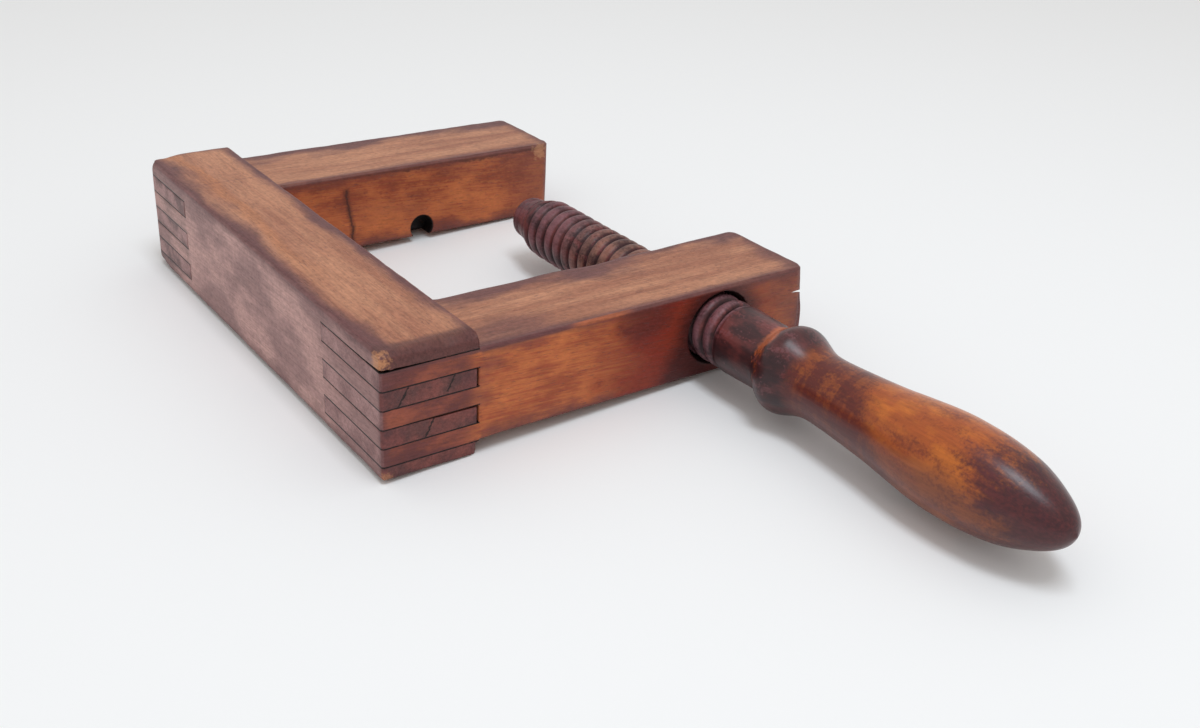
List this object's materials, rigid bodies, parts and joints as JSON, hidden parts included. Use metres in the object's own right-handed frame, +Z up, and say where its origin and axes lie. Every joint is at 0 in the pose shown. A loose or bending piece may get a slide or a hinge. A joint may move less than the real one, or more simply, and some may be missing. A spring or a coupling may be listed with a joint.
{
  "type": "wooden bench clamp",
  "caption": "C-shaped wooden bench clamp: a beam with two finger-jointed jaws and a coarse wooden screw turned in one piece with its handle.",
  "frame": {"origin": "middle of the spine's underside, where the clamp lies on a bench", "axes": "+X along the jaws from the spine to their tips, +Y along the spine and the screw from the handle's end to the fixed jaw, +Z up with the clamp lying flat"},
  "size_m": [0.1835, 0.3815, 0.0463],
  "materials": {
    "beam_wood": "old hardwood of unknown species, worn waxed finish, brown with darker edges and end grain",
    "jaw_wood": "old hardwood of unknown species, worn waxed finish, orange-brown",
    "screw_wood": "turned hardwood, dark red-brown, polished by handling, with dark mottling on the grip"
  },
  "bodies": {
    "frame": {"spine": "beam_wood", "fixed_jaw": "jaw_wood", "threaded_jaw": "jaw_wood"},
    "pad": {"pressure_pad": "screw_wood"},
    "screw": {"clamp_screw": "screw_wood"}
  },
  "joints": [
    {"name": "screw_travel", "type": "slide", "parent": "frame", "child": "pad", "axis": [0, 1, 0], "range_m": [-0.0899, 0.0114]},
    {"name": "screw_turn", "type": "hinge", "parent": "pad", "child": "screw", "pos_m": [0.12315, 0, 0.0235], "axis": [0, 1, 0], "range_deg": [-5130, 648]}
  ],
  "couplings": [
    {"joint": "screw_travel", "follows": "screw_turn", "m_per_rad": 0.0010027}
  ]
}
